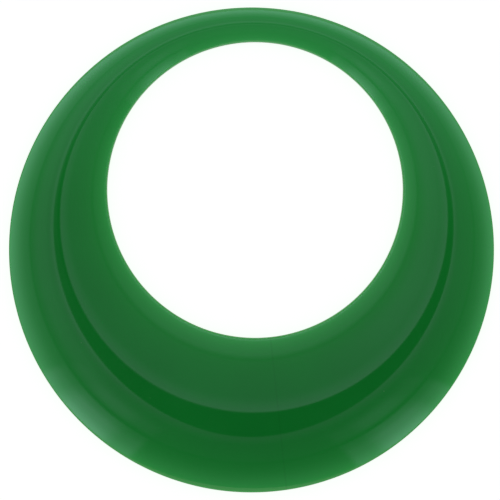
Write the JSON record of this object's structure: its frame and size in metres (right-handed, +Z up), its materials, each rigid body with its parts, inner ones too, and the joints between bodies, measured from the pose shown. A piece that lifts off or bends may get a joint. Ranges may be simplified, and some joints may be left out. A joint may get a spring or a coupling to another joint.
{
  "type": "circle template",
  "caption": "Domed glossy plastic ring with a large off-centre hole, for drawing round its outside or its hole, on soft pads.",
  "frame": {"origin": "on the drawing surface, directly under the centre of the outer circle", "axes": "+Z up out of the drawing surface, +Y from the centre of the outer circle towards the narrow side of the ring, +X to the right of it"},
  "size_m": [0.105, 0.105, 0.0084],
  "materials": {
    "cover_plastic": "polished, deep green",
    "base_plastic": "moulded, slightly less glossy green",
    "pad_rubber": "matt"
  },
  "bodies": {
    "root": {"top_cover": "cover_plastic", "base_plate": "base_plastic", "pad_1": "pad_rubber", "pad_2": "pad_rubber", "pad_3": "pad_rubber", "pad_4": "pad_rubber", "pad_5": "pad_rubber", "pad_6": "pad_rubber"}
  },
  "joints": []
}
